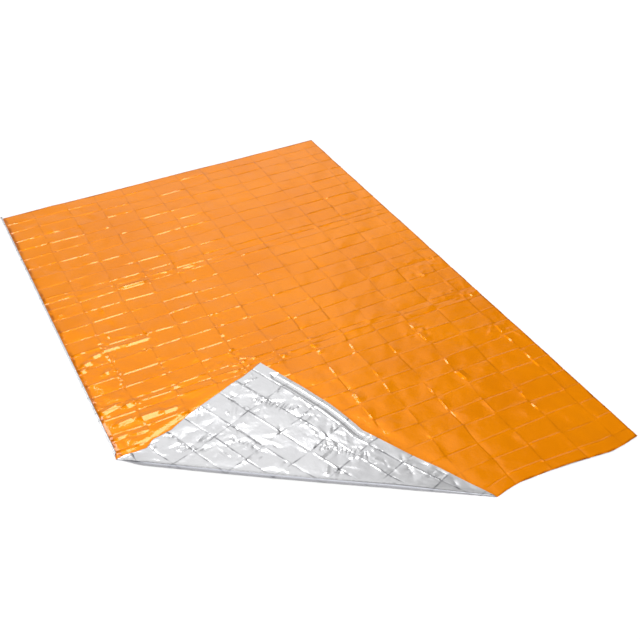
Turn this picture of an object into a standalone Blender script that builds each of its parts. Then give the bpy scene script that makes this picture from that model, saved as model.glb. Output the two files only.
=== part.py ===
"""Emergency foil blanket.

One cut sheet of thin coated film, orange on its face and silver on its back, laid out flat with its
near left corner folded over, so that the silver back of that corner shows. Its long left edge curls up
into a narrow lip. Lengths are in metres: +X runs across the sheet, +Y along it and away from the folded
corner, and +Z up. The origin is under the middle of the sheet, on the surface that it lies on.
"""

import math

import bmesh
import bpy
import numpy as np

# The sheet as it is cut, and the thickness that it is built with.
SHEET_WIDTH = 1.40
SHEET_LENGTH = 2.18
SHEET_THICKNESS = 0.001

# Where the corners of the cut sheet would lie with none folded over. Its creases draw it up unevenly.
NEAR_LEFT = np.array((0.006, 0.000))
NEAR_RIGHT = np.array((1.382, 0.002))
FAR_LEFT = np.array((-0.025, 2.158))
FAR_RIGHT = np.array((1.387, 2.189))

# The near edge isn't straight: how far it is drawn in, at places across the sheet.
NEAR_EDGE = (
    # across, drawn_in
    (0.902, -0.008),
    (0.940, 0.001),
    (0.985, 0.008),
    (1.075, 0.006),
    (1.160, 0.000),
    (1.290, -0.014),
    (1.340, -0.009),
    (1.400, 0.002),
)
NEAR_EDGE_REACH = 0.16

# The sheet was packed in a flat packet: lengthwise creases, by their distance from the left edge, and
# runs of cross creases, by their distance from the near edge. Two panels of each length are short ones.
LENGTHWISE_CREASES = (0.136, 0.275, 0.392, 0.506, 0.627, 0.749, 0.862, 0.973, 1.093, 1.215, 1.339)
CROSS_CREASE_RUNS = (
    # first, count, pitch
    (0.042, 11, 0.0758),
    (0.834, 1, 0.0),
    (0.864, 9, 0.0733),
    (1.488, 1, 0.0),
    (1.525, 9, 0.0739),
)
CROSS_CREASE_WANDER = 0.003
# The cross creases are dragged nearer at the left around one place along the sheet.
DRAG_PLACE = 1.01
DRAG_SPREAD = 0.10
DRAG_MOST = 0.034

# A crease that folds upwards is a ridge. One that folds downwards is a groove between two shoulders.
CREASE_HALF_WIDTH = 0.008
RIDGE_HEIGHT = 0.0019
SHOULDER_HEIGHT = 0.0012

# The folded corner: the fold runs from the left edge to the near edge. It rolls over at this radius, and
# is pressed flatter at both ends.
FOLD_LEFT_END = np.array((0.0, 0.623))
FOLD_NEAR_END = np.array((0.902, 0.0))
FOLD_RADIUS = 0.0062
FLATTER_AT_LEFT_END = 0.3
FLATTER_AT_NEAR_END = 0.6
FOLD_STEPS = 6
FOLD_BOW = 0.010
FOLD_BOW_REACH = 0.15
CREASE_FADE_AT_FOLD = 0.03
# Where the sheet's corner lies once it is folded over, in the cut sheet's own widths and lengths.
FOLDED_TIP = np.array((0.558, 0.825))
FLAP_REST_HEIGHT = 0.0062
FLAP_FALL_LENGTH = 0.13
# The two free edges of the folded corner are drawn in, by their share of the way from fold to tip.
FLAP_LEFT_EDGE = (
    # share, drawn_in
    (0.00, 0.000),
    (0.18, 0.030),
    (0.25, 0.014),
    (0.35, 0.023),
    (0.48, 0.011),
    (0.76, 0.006),
    (0.86, 0.009),
    (1.00, 0.000),
)
FLAP_NEAR_EDGE = (
    # share, drawn_in
    (0.00, 0.000),
    (0.06, 0.005),
    (0.20, 0.009),
    (0.35, 0.019),
    (0.50, 0.029),
    (0.57, 0.017),
    (0.66, 0.005),
    (0.80, 0.000),
    (1.00, 0.000),
)
FLAP_EDGE_REACH = 0.25

# The lip: the left edge curls up and over, past half a turn, and dies out where the fold begins.
LIP_RADIUS = 0.0035
LIP_TURN = math.radians(200)
LIP_STEPS = 4
LIP_START = 0.630
LIP_TAPER = 0.035

FOLD_LINE = FOLD_NEAR_END - FOLD_LEFT_END
FOLD_LENGTH = float(np.linalg.norm(FOLD_LINE))
FOLD_DIRECTION = FOLD_LINE / FOLD_LENGTH
FOLD_OUTWARD = np.array((FOLD_DIRECTION[1], -FOLD_DIRECTION[0]))
MOST_HALF_TURN = math.pi * FOLD_RADIUS
LIP_FILM = LIP_RADIUS * LIP_TURN


def along_table(rows, place):
    """The second column of a short table, at this place in its first column."""
    places, values = zip(*rows)
    return float(np.interp(place, places, values))


def smooth_step(share):
    """0 below 0, 1 above 1, and a soft S between."""
    share = min(max(share, 0.0), 1.0)
    return share * share * (3.0 - 2.0 * share)


def right_hand_places():
    """Where each cross crease meets the right edge, counted from the near edge."""
    return [first + step * pitch for first, count, pitch in CROSS_CREASE_RUNS for step in range(count)]


def cross_crease_places(across):
    """Where each cross crease lies along the sheet, at this distance from the left edge."""
    places = []
    for index, place in enumerate(right_hand_places()):
        drag = DRAG_MOST * math.exp(-(((place - DRAG_PLACE) / DRAG_SPREAD) ** 2))
        wander = CROSS_CREASE_WANDER * math.sin(2.4 * index + 7.0 * across)
        places.append(place - drag * (1.0 - across / SHEET_WIDTH) + wander)
    return places


def crease_profile(place, creases, first_is_ridge):
    """The height of a row of creases at this place: ridges and grooves, one after the other."""
    places, heights = [], []
    for index, crease in enumerate(creases):
        is_ridge = (index % 2 == 0) == first_is_ridge
        shoulder = 0.0 if is_ridge else SHOULDER_HEIGHT
        places += [crease - CREASE_HALF_WIDTH, crease, crease + CREASE_HALF_WIDTH]
        heights += [shoulder, RIDGE_HEIGHT if is_ridge else 0.0, shoulder]
    return float(np.interp(place, places, heights))


def crease_height(across, along, back_is_up):
    """How far the creases raise the film. The side that is up sees ridges where the other sees grooves."""
    column = sum(across > crease for crease in LENGTHWISE_CREASES)
    nearest = min(abs(across - crease) for crease in LENGTHWISE_CREASES)
    fade = min(1.0, nearest / CREASE_HALF_WIDTH)
    cross = crease_profile(along, cross_crease_places(across), (column % 2 == 0) != back_is_up)
    lengthwise = crease_profile(across, LENGTHWISE_CREASES, back_is_up)
    return fade * cross + lengthwise


def past_the_fold(across, along):
    """(distance along the fold line, distance past it towards the folded corner)."""
    offset = np.array((across, along)) - FOLD_LEFT_END
    return float(offset @ FOLD_DIRECTION), float(offset @ FOLD_OUTWARD)


def fold_radius(down_the_fold):
    """The radius of the rolled fold, at this distance down the fold from its left end."""
    share = down_the_fold / FOLD_LENGTH
    left = FLATTER_AT_LEFT_END * (1.0 - smooth_step(share / 0.1))
    near = FLATTER_AT_NEAR_END * smooth_step((share - 0.75) / 0.25)
    return FOLD_RADIUS * (1.0 - left - near)


def lip_film(along):
    """How much of the film is curled up in the lip, at this distance from the near edge."""
    return LIP_FILM * smooth_step((along - LIP_START) / LIP_TAPER)


def flap_place(across, along, start, reach):
    """Where a point of the folded corner lies: the corner lies a little skewed, its edges drawn in."""
    foot = FOLD_LEFT_END - (FOLD_LEFT_END @ FOLD_DIRECTION) * FOLD_DIRECTION
    tip_reach = float(-(FOLD_LEFT_END @ FOLD_OUTWARD)) - MOST_HALF_TURN
    place = start + reach * (FOLDED_TIP - foot) / tip_reach
    share_along = along / FOLD_LEFT_END[1]
    share_across = across / FOLD_NEAR_END[0]
    for share, far_from_edge, edge, end in (
        (1.0 - share_along, share_across, FLAP_LEFT_EDGE, FOLD_LEFT_END),
        (1.0 - share_across, share_along, FLAP_NEAR_EDGE, FOLD_NEAR_END),
    ):
        inward = (end - FOLDED_TIP)[::-1] * (-1.0, 1.0)
        inward = inward / np.linalg.norm(inward)
        inward = inward * np.sign(inward @ (foot - FOLDED_TIP))
        felt = 1.0 - smooth_step(far_from_edge / FLAP_EDGE_REACH)
        place = place + inward * along_table(edge, share) * felt
    return place


def folded(across, along, on_face):
    """The place of a point of the film, on its orange face or its silver back, with the corner folded."""
    height = SHEET_THICKNESS if on_face else 0.0
    down_the_fold, past = past_the_fold(across, along)
    if past <= 0.0:
        curled = lip_film(along) - across
        if curled > 0.0:
            angle = curled / LIP_RADIUS
            radius = LIP_RADIUS - height
            return (
                lip_film(along) - radius * math.sin(angle),
                along,
                LIP_RADIUS - radius * math.cos(angle),
            )
        if on_face:
            clear_of_lip = min(1.0, -curled / CREASE_HALF_WIDTH)
            clear_of_fold = min(1.0, -past / CREASE_FADE_AT_FOLD)
            height += crease_height(across, along, False) * min(clear_of_lip, clear_of_fold)
        return across, along, height
    start = FOLD_LEFT_END + down_the_fold * FOLD_DIRECTION
    turn_radius = fold_radius(down_the_fold)
    reach = past - math.pi * turn_radius
    if reach < 0.0:
        angle = past / turn_radius
        radius = turn_radius - height
        place = start + FOLD_OUTWARD * radius * math.sin(angle)
        return place[0], place[1], turn_radius - radius * math.cos(angle)
    place = flap_place(across, along, start, reach)
    fall = smooth_step(reach / FLAP_FALL_LENGTH)
    back = 2.0 * turn_radius * (1.0 - fall) + FLAP_REST_HEIGHT * fall
    back += crease_height(across, along, True) * min(1.0, reach / CREASE_FADE_AT_FOLD)
    return place[0], place[1], back - height


def laid(across, along):
    """Moves a place on the folded sheet to where it lies, by the laid corners and the uneven edges."""
    down_the_fold, past = past_the_fold(across, along)
    bow = FOLD_BOW * math.sin(math.pi * min(max(down_the_fold / FOLD_LENGTH, 0.0), 1.0))
    bow *= math.exp(-((past / FOLD_BOW_REACH) ** 2))
    across, along = np.array((across, along)) + bow * FOLD_OUTWARD
    along += along_table(NEAR_EDGE, across) * max(0.0, 1.0 - along / NEAR_EDGE_REACH)
    across_share = across / SHEET_WIDTH
    along_share = along / SHEET_LENGTH
    near = NEAR_LEFT + across_share * (NEAR_RIGHT - NEAR_LEFT)
    far = FAR_LEFT + across_share * (FAR_RIGHT - FAR_LEFT)
    return near + along_share * (far - near)


def column_lines():
    """The grid's lines across the sheet: the lip's steps, then three lines at each crease."""
    lines = [LIP_FILM * step / LIP_STEPS for step in range(LIP_STEPS + 1)]
    lines.append(LIP_FILM + CREASE_HALF_WIDTH)
    for crease in LENGTHWISE_CREASES:
        lines += [crease - CREASE_HALF_WIDTH, crease, crease + CREASE_HALF_WIDTH]
    return lines + [SHEET_WIDTH]


def row_lines(across):
    """The grid's lines along the sheet, at this distance from the left edge."""
    lines = [0.0]
    for crease in cross_crease_places(across):
        lines += [crease - CREASE_HALF_WIDTH, crease, crease + CREASE_HALF_WIDTH]
    return lines + [SHEET_LENGTH]


def cut_sheet():
    """The flat sheet as a grid on its crease lines, cut again along the turn of the fold."""
    columns = column_lines()
    rows = len(row_lines(0.0))
    sheet = bmesh.new()
    bmesh.ops.create_grid(sheet, x_segments=len(columns) - 1, y_segments=rows - 1, size=1.0)
    ordered = sorted(sheet.verts, key=lambda point: (round(point.co.x, 4), round(point.co.y, 4)))
    for index, point in enumerate(ordered):
        column, row = divmod(index, rows)
        across = columns[column]
        point.co = (across, row_lines(across)[row], 0.0)
    turn = [MOST_HALF_TURN * step / FOLD_STEPS for step in range(FOLD_STEPS + 1)]
    fall = [MOST_HALF_TURN + FLAP_FALL_LENGTH * share for share in (0.25, 0.55, 1.0)]
    for past in [-CREASE_FADE_AT_FOLD] + turn + fall:
        bmesh.ops.bisect_plane(
            sheet,
            geom=sheet.verts[:] + sheet.edges[:] + sheet.faces[:],
            dist=0.0004,
            plane_co=(*(FOLD_LEFT_END + past * FOLD_OUTWARD), 0.0),
            plane_no=(*FOLD_OUTWARD, 0.0),
        )
    bmesh.ops.triangulate(sheet, faces=sheet.faces[:])
    return sheet


def film_material(name, colour, roughness, metallic):
    """A glossy coated film."""
    material = bpy.data.materials.new(name)
    material.use_nodes = True
    surface = material.node_tree.nodes["Principled BSDF"]
    surface.inputs["Base Color"].default_value = (*colour, 1.0)
    surface.inputs["Roughness"].default_value = roughness
    surface.inputs["Metallic"].default_value = metallic
    return material


def thickened(sheet, collection):
    """An object of the flat sheet with its thickness: its back is at height 0, and its face above it."""
    mesh = bpy.data.meshes.new("blanket")
    sheet.to_mesh(mesh)
    sheet.free()
    blanket = bpy.data.objects.new("blanket", mesh)
    collection.objects.link(blanket)
    mesh.materials.append(film_material("silver_film", (0.80, 0.80, 0.82), 0.18, 1.0))
    mesh.materials.append(film_material("orange_film", (0.91, 0.24, 0.012), 0.25, 0.2))
    shell = blanket.modifiers.new("thickness", "SOLIDIFY")
    shell.thickness = SHEET_THICKNESS
    shell.offset = 1.0
    shell.use_even_offset = False
    bpy.context.view_layer.update()
    evaluated = blanket.evaluated_get(bpy.context.evaluated_depsgraph_get())
    blanket.data = bpy.data.meshes.new_from_object(evaluated)
    blanket.modifiers.clear()
    bpy.data.meshes.remove(mesh)
    blanket.data.name = "blanket"
    return blanket


def lay_out(blanket):
    """Moves every point of the flat sheet to where it lies, and centres the sheet on the origin."""
    body = bmesh.new()
    body.from_mesh(blanket.data)
    for point in body.verts:
        across, along, height = folded(point.co.x, point.co.y, point.co.z > SHEET_THICKNESS / 2)
        point.co = (*laid(across, along), height)
    low = [min(point.co[axis] for point in body.verts) for axis in range(2)]
    high = [max(point.co[axis] for point in body.verts) for axis in range(2)]
    for point in body.verts:
        point.co.x -= (low[0] + high[0]) / 2
        point.co.y -= (low[1] + high[1]) / 2
    flat_edges = [edge for edge in body.edges if all(abs(end.co.z) < 1e-7 for end in edge.verts)]
    bmesh.ops.dissolve_limit(body, angle_limit=0.001, verts=[], edges=flat_edges)
    bmesh.ops.recalc_face_normals(body, faces=body.faces[:])
    body.to_mesh(blanket.data)
    body.free()


def main():
    for old in list(bpy.data.objects):
        bpy.data.objects.remove(old, do_unlink=True)
    collection = bpy.data.collections.new("emergency_foil_blanket")
    bpy.context.scene.collection.children.link(collection)
    blanket = thickened(cut_sheet(), collection)
    lay_out(blanket)


main()
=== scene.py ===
"""Looks of the emergency foil blanket: the creased film, its two coatings, and a plain studio round it."""

import math

import bmesh
import bpy
import numpy as np
from mathutils import Matrix, Vector


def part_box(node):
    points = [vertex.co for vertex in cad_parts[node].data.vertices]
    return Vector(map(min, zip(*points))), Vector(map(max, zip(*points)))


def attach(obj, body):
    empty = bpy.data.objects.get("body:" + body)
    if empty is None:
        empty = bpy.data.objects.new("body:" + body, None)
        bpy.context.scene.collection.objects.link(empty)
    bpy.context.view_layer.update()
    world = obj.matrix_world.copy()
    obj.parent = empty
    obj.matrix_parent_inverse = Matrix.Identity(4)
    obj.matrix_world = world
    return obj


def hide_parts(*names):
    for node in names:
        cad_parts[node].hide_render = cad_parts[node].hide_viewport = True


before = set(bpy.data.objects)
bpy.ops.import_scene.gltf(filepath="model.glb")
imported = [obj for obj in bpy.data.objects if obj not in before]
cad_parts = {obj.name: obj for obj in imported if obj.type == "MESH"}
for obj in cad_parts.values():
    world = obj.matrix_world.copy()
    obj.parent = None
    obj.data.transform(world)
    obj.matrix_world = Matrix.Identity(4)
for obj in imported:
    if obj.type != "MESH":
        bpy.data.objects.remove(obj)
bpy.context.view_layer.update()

# The film as it is cut, in metres. Across is from its long left edge, and along is from its near edge.
SHEET_WIDTH = 1.40
SHEET_LENGTH = 2.18
# Real film is 12 to 25 micrometres thick. It is drawn thicker, so that its two faces stay apart.
FILM_THICKNESS = 0.0003
# How many metres of film one unit of its UV map stands for.
UV_METRES = 2.2

# Where the corners of the cut film would lie with none folded over.
NEAR_LEFT = np.array((0.001, 0.000))
NEAR_RIGHT = np.array((1.382, 0.002))
FAR_LEFT = np.array((-0.030, 2.158))
FAR_RIGHT = np.array((1.387, 2.189))

# The near edge isn't straight: how far it is drawn in, at places across the sheet.
NEAR_EDGE = (
    # across, drawn_in
    (0.902, -0.008),
    (0.940, 0.001),
    (0.985, 0.008),
    (1.075, 0.006),
    (1.160, 0.000),
    (1.290, -0.014),
    (1.340, -0.009),
    (1.400, 0.002),
)
NEAR_EDGE_REACH = 0.16

# The creases of the packet: lengthwise ones, by their distance from the left edge, and runs of cross
# creases, by their distance from the near edge. Two panels of each length are short ones.
LENGTHWISE_CREASES = np.array((0.136, 0.275, 0.392, 0.506, 0.627, 0.749, 0.862, 0.973, 1.093, 1.215, 1.339))
CROSS_CREASE_RUNS = (
    # first, count, pitch
    (0.042, 11, 0.0758),
    (0.834, 1, 0.0),
    (0.864, 9, 0.0733),
    (1.488, 1, 0.0),
    (1.525, 9, 0.0739),
)
CROSS_CREASE_WANDER = 0.003
WANDER_PER_CREASE = 2.4
WANDER_PER_METRE = 7.0
# The cross creases are dragged nearer at the left around one place along the sheet.
DRAG_PLACE = 1.01
DRAG_SPREAD = 0.10
DRAG_MOST = 0.034

# The folded corner: the ends of its fold, and the roll that it turns over on, flatter at both ends.
FOLD_LEFT_END = np.array((0.0, 0.623))
FOLD_NEAR_END = np.array((0.902, 0.0))
FOLD_RADIUS = 0.0062
FLATTER_AT_LEFT_END = 0.8
FLATTER_AT_NEAR_END = 0.6
FOLD_STEPS = 12
FOLD_BOW = 0.010
FOLD_BOW_REACH = 0.15
FLATTER_LEFT_SHARE = 0.1
FLATTER_NEAR_SHARE = 0.25

# The flap past the roll: where its tip lies, and how it falls from the roll to its rest height.
FOLDED_TIP = np.array((0.558, 0.825))
FLAP_REST_HEIGHT = 0.0062
ROOM_FOR_RELIEF = 0.0010
LEAST_FLAP_HEIGHT = 0.0012
FLAP_FALL_LENGTH = 0.13
FLAP_CALM_LENGTH = 0.03
FOLD_DIP = 0.0020
FOLD_DIP_LENGTH = 0.010

# The flap's two free edges are drawn in, by their share of the way from fold to tip.
FLAP_LEFT_EDGE = (
    # share, drawn_in
    (0.00, 0.000),
    (0.18, 0.030),
    (0.25, 0.014),
    (0.35, 0.023),
    (0.48, 0.011),
    (0.76, 0.006),
    (0.86, 0.009),
    (1.00, 0.000),
)
FLAP_NEAR_EDGE = (
    # share, drawn_in
    (0.00, 0.000),
    (0.06, 0.005),
    (0.20, 0.009),
    (0.35, 0.019),
    (0.50, 0.029),
    (0.57, 0.017),
    (0.66, 0.005),
    (0.80, 0.000),
    (1.00, 0.000),
)
FLAP_EDGE_REACH = 0.25
DRAWN_IN_PAST_ROLL = 0.05

# The film is pressed flat under the flap. The border starts so far outside each side, and is so wide.
FLAP_BORDERS = (
    # outside, width
    (0.022, 0.020),
    (0.030, 0.050),
    (0.004, 0.020),
)
PRESSED_UNDER_FLAP = 0.95

# The lip along the left edge: how tightly and how far it curls, and where it starts along the sheet.
LIP_RADIUS = 0.0045
LIP_TURN = math.radians(230)
LIP_STEPS = 9
LIP_START = 0.622
LIP_TAPER = 0.020
# Between the fold and the lip, the left edge is drawn in from here on, as far as the lip draws it in.
DRAWN_IN_START = 0.48
DRAWN_IN_LENGTH = 0.1
DRAWN_IN_WIDTH = 0.08

FOLD_LINE = FOLD_NEAR_END - FOLD_LEFT_END
FOLD_LENGTH = float(np.linalg.norm(FOLD_LINE))
FOLD_DIRECTION = FOLD_LINE / FOLD_LENGTH
FOLD_OUTWARD = np.array((FOLD_DIRECTION[1], -FOLD_DIRECTION[0]))
MOST_HALF_TURN = math.pi * FOLD_RADIUS
LIP_FILM = LIP_RADIUS * LIP_TURN

# The relief of the film: how far creases raise or sink it and how far they reach, in metres.
CREASE_REACH = 0.005
CREASE_SLOPE = 0.20
LEVEL_SIDE_REACH = 0.013
PANEL_TILT = 0.0006
FACET_CORNER = 0.0006
FACET_MIDDLE = 0.0017
PINCH = 0.0012
SHORT_CREASE = 0.0014
# How far a crossing of the packet's creases is out of its place, across and along.
CREASE_JITTER = (0.0045, 0.0025)
WAVE_HEIGHT = 0.0005

# The height of the creased film over the floor. Close to the lip and the fold it sinks to the calmest share.
MEAN_HEIGHT = 0.0018
FLOOR_GAP = 0.0001
CALM_BESIDE_LIP = 0.012
CALM_BESIDE_FOLD = 0.06
CALMEST = 0.25


def smooth_step(share):
    """0 below 0, 1 above 1, and a soft S between."""
    share = np.clip(share, 0.0, 1.0)
    return share * share * (3.0 - 2.0 * share)


def along_table(rows, place):
    """The second column of a short table, at these places in its first column."""
    places, values = zip(*rows)
    return np.interp(place, places, values)


def right_hand_places():
    """Where each cross crease meets the right edge."""
    places = [first + step * pitch for first, count, pitch in CROSS_CREASE_RUNS for step in range(count)]
    return np.array(places)


def cross_crease_places(across):
    """Where each cross crease lies along the film, a column each, at these distances from the left edge."""
    place = right_hand_places()
    index = np.arange(len(place))
    drag = DRAG_MOST * np.exp(-(((place - DRAG_PLACE) / DRAG_SPREAD) ** 2))
    across = np.asarray(across, float)[..., None]
    wander = CROSS_CREASE_WANDER * np.sin(WANDER_PER_CREASE * index + WANDER_PER_METRE * across)
    return place - drag * (1.0 - across / SHEET_WIDTH) + wander


def crease_jitter():
    """How far the film has shifted at each crossing of the packet's creases, across and along."""
    draw = np.random.default_rng(3)
    shape = (len(LENGTHWISE_CREASES) + 2, len(right_hand_places()) + 2)
    across = CREASE_JITTER[0] * draw.uniform(-1.0, 1.0, shape)
    along = CREASE_JITTER[1] * draw.uniform(-1.0, 1.0, shape)
    across[[0, -1]] = 0.0
    along[:, [0, -1]] = 0.0
    return across, along


def between_crossings(table, across, along):
    """A table of values at the crossings of the creases, read at any place between them."""
    side = np.concatenate([[0.0], LENGTHWISE_CREASES, [SHEET_WIDTH]])
    end = np.concatenate([[0.0], right_hand_places(), [SHEET_LENGTH]])
    left = np.clip(np.searchsorted(side, across) - 1, 0, len(side) - 2)
    low = np.clip(np.searchsorted(end, along) - 1, 0, len(end) - 2)
    right_share = np.clip((across - side[left]) / (side[left + 1] - side[left]), 0.0, 1.0)
    up_share = np.clip((along - end[low]) / (end[low + 1] - end[low]), 0.0, 1.0)
    below = table[left, low] * (1 - right_share) + table[left + 1, low] * right_share
    above = table[left, low + 1] * (1 - right_share) + table[left + 1, low + 1] * right_share
    return below * (1 - up_share) + above * up_share


def on_straight_creases(across, along):
    """The places with the creases' shifts taken out, so that each crease runs straight along an edge."""
    knots = right_hand_places()
    shift_across, shift_along = crease_jitter()
    straight_across, straight_along = across, along
    for _ in range(3):
        straight_across = across - between_crossings(shift_across, straight_across, straight_along)
        offset = cross_crease_places(straight_across)
        shifted = along - between_crossings(shift_along, straight_across, straight_along)
        ends = np.hstack([np.zeros((len(across), 1)), offset, np.full((len(across), 1), SHEET_LENGTH)])
        targets = np.concatenate([[0.0], knots, [SHEET_LENGTH]])
        low = np.clip((shifted[:, None] > ends).sum(1) - 1, 0, len(knots))
        start = np.take_along_axis(ends, low[:, None], 1)[:, 0]
        stop = np.take_along_axis(ends, low[:, None] + 1, 1)[:, 0]
        straight_along = targets[low] + (shifted - start) / (stop - start) * (targets[low + 1] - targets[low])
    return straight_across, straight_along


# ---------------------------------------------------------------- relief of the film


def crease_line(distance, reach):
    """1 on a crease, falling away evenly to 0 at its reach."""
    return np.clip(1.0 - np.abs(distance) / reach, 0.0, 1.0)


# Each panel is halved about midway, and each half breaks into facets round a point about its middle.
HALVED_AT = (0.38, 0.62)
FACETS_MEET_AT = (0.25, 0.75)


def facet_relief(across, along):
    """The flat facets that each panel breaks into: four round a middle point, in each half of the panel."""
    draw = np.random.default_rng(11)
    edges = np.concatenate([[0.0], LENGTHWISE_CREASES, [SHEET_WIDTH]])
    halves = edges[:-1] + np.diff(edges) * draw.uniform(*HALVED_AT, len(edges) - 1)
    side = np.sort(np.concatenate([edges, halves]))
    end = np.concatenate([[0.0], right_hand_places(), [SHEET_LENGTH]])
    left = np.clip(np.searchsorted(side, across) - 1, 0, len(side) - 2)
    low = np.clip(np.searchsorted(end, along) - 1, 0, len(end) - 2)
    right_share = (across - side[left]) / (side[left + 1] - side[left])
    up_share = (along - end[low]) / (end[low + 1] - end[low])
    cells = (len(side) - 1, len(end) - 1)
    corner = FACET_CORNER * draw.uniform(-1.0, 1.0, (len(side), len(end)))
    middle = FACET_MIDDLE * draw.uniform(-1.0, 1.0, cells)[left, low]
    middle_right = draw.uniform(*FACETS_MEET_AT, cells)[left, low]
    middle_up = draw.uniform(*FACETS_MEET_AT, cells)[left, low]
    relief = np.zeros(len(across))
    hair = 1e-6
    ring = ((0, 0), (1, 0), (1, 1), (0, 1))
    for first, second in zip(ring, ring[1:] + ring[:1]):
        step_right, step_up = second[0] - first[0], second[1] - first[1]
        reach_right, reach_up = middle_right - first[0], middle_up - first[1]
        off_right, off_up = right_share - first[0], up_share - first[1]
        area = step_right * reach_up - step_up * reach_right
        of_second = (off_right * reach_up - off_up * reach_right) / area
        of_middle = (step_right * off_up - step_up * off_right) / area
        of_first = 1.0 - of_second - of_middle
        inside = (of_first >= -hair) & (of_second >= -hair) & (of_middle >= -hair)
        start = corner[left + first[0], low + first[1]]
        stop = corner[left + second[0], low + second[1]]
        relief = np.where(inside, of_first * start + of_second * stop + of_middle * middle, relief)
    return relief


# How the packet's folds differ from panel to panel, as shares of their full height.
CROSS_CREASE_HEIGHTS = (0.35, 1.2)
HIGHER_PER_METRE = 0.2
PANEL_TILTS = (0.2, 1.2)
LEAST_LONG_CREASE = 0.10
# A cross crease turns from ridge to groove this close to each lengthwise crease.
RIDGE_TO_GROOVE = 0.010
# How far past the cut edges the first and last panels of the packet would reach.
BEFORE_NEAR_EDGE = 0.05
PAST_FAR_EDGE = 0.03
# The lengthwise creases are low up to here from the left edge, and reach full height over this width.
LOW_LEFT_UP_TO = 0.2
LOW_LEFT_WIDTH = 0.6
# Where creases cross, the film is pinched, over a spread between these two.
PINCH_SPREADS = (0.008, 0.018)
PINCH_REACH = 0.022


def packet_relief(across, along):
    """The relief that the packet's folds leave: sharp creases, tilted panels and pinched crossings."""
    draw = np.random.default_rng(7)
    columns = len(LENGTHWISE_CREASES) + 1
    rows = len(right_hand_places())
    column = np.searchsorted(LENGTHWISE_CREASES, across)
    to_crease = across[:, None] - LENGTHWISE_CREASES
    beside = np.abs(to_crease).min(1)
    column_sign = np.where(column % 2 == 0, 1.0, -1.0) * smooth_step(beside / RIDGE_TO_GROOVE)
    off = along[:, None] - right_hand_places()
    row = (off > 0).sum(1)

    sign = np.where(np.arange(rows) % 2 == 0, 1.0, -1.0)
    height = CREASE_SLOPE * CREASE_REACH * draw.uniform(*CROSS_CREASE_HEIGHTS, (columns, rows))
    height *= 1.0 + HIGHER_PER_METRE * right_hand_places()
    relief = np.zeros(len(across))
    for step in range(rows):
        relief += height[column, step] * sign[step] * column_sign * crease_line(off[:, step], CREASE_REACH)

    ends = np.concatenate([[-BEFORE_NEAR_EDGE], right_hand_places(), [SHEET_LENGTH + PAST_FAR_EDGE]])
    share = np.clip((along - ends[row]) / (ends[row + 1] - ends[row]), 0.0, 1.0)
    tilt = draw.uniform(*PANEL_TILTS, (columns, rows + 2)) * np.append(np.append(-1.0, sign), -sign[-1])
    relief += PANEL_TILT * column_sign * (tilt[column, row] * (1 - share) + tilt[column, row + 1] * share)

    long_sign = np.where(np.arange(columns - 1) % 2 == 0, 1.0, -1.0)
    shares = LEAST_LONG_CREASE + (1.0 - LEAST_LONG_CREASE) * draw.random((columns - 1, rows + 1)) ** 2
    long_height = CREASE_SLOPE * CREASE_REACH * shares
    to_the_right = smooth_step((LENGTHWISE_CREASES - LOW_LEFT_UP_TO) / LOW_LEFT_WIDTH)
    long_height *= (0.35 + 0.65 * to_the_right)[:, None]
    for step in range(columns - 1):
        power = long_height[step][row]
        rising = to_crease[:, step] * long_sign[step] < 0.0
        reach = np.where(rising, LEVEL_SIDE_REACH, CREASE_REACH)
        relief += long_sign[step] * power * crease_line(to_crease[:, step], reach)
        corner = draw.uniform(-1.0, 1.0, rows)
        spread = draw.uniform(*PINCH_SPREADS, rows)
        near = np.abs(to_crease[:, step]) < PINCH_REACH
        for cross in range(rows):
            far = np.hypot(to_crease[near, step], off[near, cross])
            relief[near] += PINCH * corner[cross] * crease_line(far, spread[cross])
    return relief


def close_to(place, around, across, along):
    """Which points lie in the square round a place, and how far right and ahead of it they lie."""
    near = np.nonzero((np.abs(across - place[0]) < around) & (np.abs(along - place[1]) < around))[0]
    return near, across[near] - place[0], along[near] - place[1]


def turned(right, ahead, turn):
    """(distance down a line that runs at this turn, distance aside from it)."""
    return (
        right * math.cos(turn) + ahead * math.sin(turn),
        ahead * math.cos(turn) - right * math.sin(turn),
    )


def add_short_crease(relief, across, along, place, turn, half_length, reach, height):
    """Adds one short crease, sharp across and fading out towards its ends."""
    near, right, ahead = close_to(place, half_length + reach, across, along)
    down, aside = turned(right, ahead, turn)
    fade = np.clip(1.0 - (down / half_length) ** 2, 0.0, 1.0)
    relief[near] += height * fade * crease_line(aside, reach * (0.4 + 0.6 * fade))


def add_crumple(relief, across, along, place, size, height, draw):
    """Adds one crumple: a low pyramid with a few flat, unequal faces."""
    near, right, ahead = close_to(place, 2.0 * size, across, along)
    faces = draw.integers(3, 6)
    slew = place[0] * 40.0
    level = np.full(len(near), 1.0)
    for face in range(faces):
        turn = 2.0 * math.pi * (face + draw.uniform(-0.3, 0.3)) / faces + slew
        breadth = size * draw.uniform(0.5, 1.4)
        level = np.minimum(level, 1.0 - (right * math.cos(turn) + ahead * math.sin(turn)) / breadth)
    relief[near] += height * np.clip(level, 0.0, 1.0)


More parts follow.
